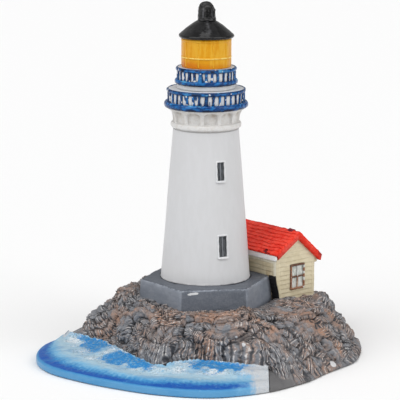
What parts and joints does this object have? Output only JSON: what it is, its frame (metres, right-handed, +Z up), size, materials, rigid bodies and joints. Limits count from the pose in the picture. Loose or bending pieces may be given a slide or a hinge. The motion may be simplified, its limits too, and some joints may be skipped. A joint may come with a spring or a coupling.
{
  "type": "lighthouse figurine",
  "caption": "Painted resin lighthouse ornament: tapered tower with galleries, lantern and roof, a plinth and cottage on a rock base with a wave apron.",
  "frame": {"origin": "on the resting plane, under the tower's axis", "axes": "+Z up along the tower, +X to the right and -Y towards the viewer, who sees the sea at the left and the cottage at the right"},
  "size_m": [0.1284, 0.1268, 0.1389],
  "materials": {
    "felt": "dark green felt",
    "rock": "cast resin, dark wash with a brown dry brush",
    "sea": "cast resin, hand-painted blue with white foam",
    "slate": "slate grey paint on resin",
    "tower_white": "matte white paint on resin",
    "trim_white": "white paint on resin",
    "pane_grey": "dark grey paint on resin",
    "corbel_cream": "off-white paint with a beige wash",
    "gallery_blue": "gloss blue paint on resin",
    "lantern_yellow": "satin yellow-orange paint on resin",
    "glazing_yellow": "pale yellow paint on resin",
    "roof_black": "gloss black paint on resin",
    "house_cream": "cream-yellow paint on resin",
    "roof_red": "red paint on resin",
    "vent_maroon": "dark red paint on resin",
    "frame_brown": "brown paint on resin",
    "pane_light": "pale grey paint on resin"
  },
  "bodies": {
    "root": {"felt_pad": "felt", "rock_base": "rock", "sea_apron": "sea", "plinth": "slate", "tower": "tower_white", "tower_window_frames": "trim_white", "tower_window_panes": "pane_grey", "corbel_ring": "corbel_cream", "lower_moulding": "gallery_blue", "lower_gallery": "tower_white", "lower_railing": "gallery_blue", "watch_room": "tower_white", "upper_moulding": "gallery_blue", "upper_railing": "gallery_blue", "lantern": "lantern_yellow", "lantern_glazing": "glazing_yellow", "lantern_roof": "roof_black", "finial": "roof_black", "house_walls": "house_cream", "house_roof": "roof_red", "eave_board": "trim_white", "ridge_vent": "vent_maroon", "house_window_frames": "frame_brown", "house_window_panes": "pane_light"}
  },
  "joints": []
}
